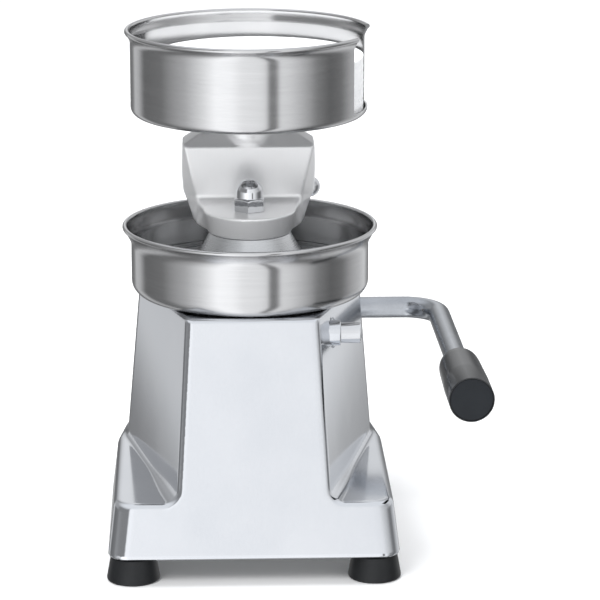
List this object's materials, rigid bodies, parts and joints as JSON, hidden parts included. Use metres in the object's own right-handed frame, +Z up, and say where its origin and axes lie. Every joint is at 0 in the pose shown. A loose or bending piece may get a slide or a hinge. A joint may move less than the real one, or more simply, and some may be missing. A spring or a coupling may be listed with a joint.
{
  "type": "hamburger patty press",
  "caption": "Table-top manual patty press: steel bowl with a round mould, press plate on a tilting head under a paper dish, cranked side lever and cast base on rubber feet.",
  "frame": {"origin": "middle of the bounding box's bottom face, on the surface the feet stand on", "axes": "+Z up, +X to the lever side, +Y to the rear, away from the user"},
  "size_m": [0.2466, 0.2806, 0.336],
  "materials": {
    "cast_aluminium": "satin polished casting",
    "turned_aluminium": "fine turned",
    "zinc_steel": "zinc plated",
    "stainless": "brushed round its axis",
    "chromed_steel": "bright chromed",
    "plated_steel": "satin plated",
    "black_plastic": "gloss moulded",
    "matt_black_plastic": "matt moulded",
    "paper": "plain waxed discs",
    "cast_iron": "as cast, machined faces",
    "bronze": "sintered bronze",
    "black_rubber": "moulded"
  },
  "bodies": {
    "base": {"base_housing": "cast_aluminium", "bottom_cover": "zinc_steel", "cover_screws": "zinc_steel", "foot_left_front": "black_rubber", "foot_right_front": "black_rubber", "foot_left_rear": "black_rubber", "foot_right_rear": "black_rubber", "foot_screws": "zinc_steel", "lower_bowl": "stainless", "bowl_screws": "zinc_steel", "patty_mould": "turned_aluminium", "stem_bush": "bronze", "column_upper_bush": "bronze", "column_lower_bush": "bronze", "shaft_bush_right": "bronze", "shaft_bush_left": "bronze", "fulcrum_pin": "chromed_steel", "fulcrum_collars": "zinc_steel"},
    "lever": {"lever_bar": "plated_steel", "crank_arm": "cast_iron", "crank_cross_pin": "zinc_steel", "crank_pin": "zinc_steel", "crank_roller": "zinc_steel", "shaft_collar": "zinc_steel", "collar_screw": "zinc_steel", "grip": "black_plastic", "grip_end_cap": "matt_black_plastic"},
    "column": {"column": "chromed_steel", "crosshead": "cast_iron", "crosshead_pin": "zinc_steel", "trunnion_pin": "zinc_steel"},
    "rocker": {"rocker_arm": "cast_iron"},
    "ejector": {"ejector_disc": "turned_aluminium", "ejector_stem": "zinc_steel"},
    "head": {"head_block": "cast_aluminium", "press_plate": "turned_aluminium", "press_plate_stud": "zinc_steel", "stud_acorn_nut": "chromed_steel", "hinge_pin": "zinc_steel", "hinge_washers": "zinc_steel", "hinge_jam_nut": "chromed_steel", "hinge_acorn_nut": "chromed_steel", "paper_dish": "stainless", "dish_screws": "zinc_steel", "paper_stack": "paper"}
  },
  "joints": [
    {"name": "lever_swing", "type": "hinge", "parent": "base", "child": "lever", "pos_m": [-0.02905, 0.10763, 0.117], "axis": [-1, 0, 0], "range_deg": [0, 70]},
    {"name": "column_lift", "type": "slide", "parent": "base", "child": "column", "axis": [0, 0, 1], "range_m": [0, 0.03503]},
    {"name": "rocker_tilt", "type": "hinge", "parent": "base", "child": "rocker", "pos_m": [-0.02905, -0.06887, 0.1465], "axis": [1, 0, 0], "range_deg": [0, 13.2]},
    {"name": "ejector_lift", "type": "slide", "parent": "base", "child": "ejector", "axis": [0, 0, 1], "range_m": [0, 0.0114]},
    {"name": "head_tilt", "type": "hinge", "parent": "column", "child": "head", "pos_m": [-0.02905, 0.07763, 0.211], "axis": [-1, 0, 0], "range_deg": [0, 60]}
  ],
  "couplings": [
    {"joint": "column_lift", "follows": "lever_swing", "m_per_rad": 0.028591},
    {"joint": "rocker_tilt", "follows": "lever_swing", "ratio": 0.18686},
    {"joint": "ejector_lift", "follows": "lever_swing", "m_per_rad": 0.0092328}
  ]
}
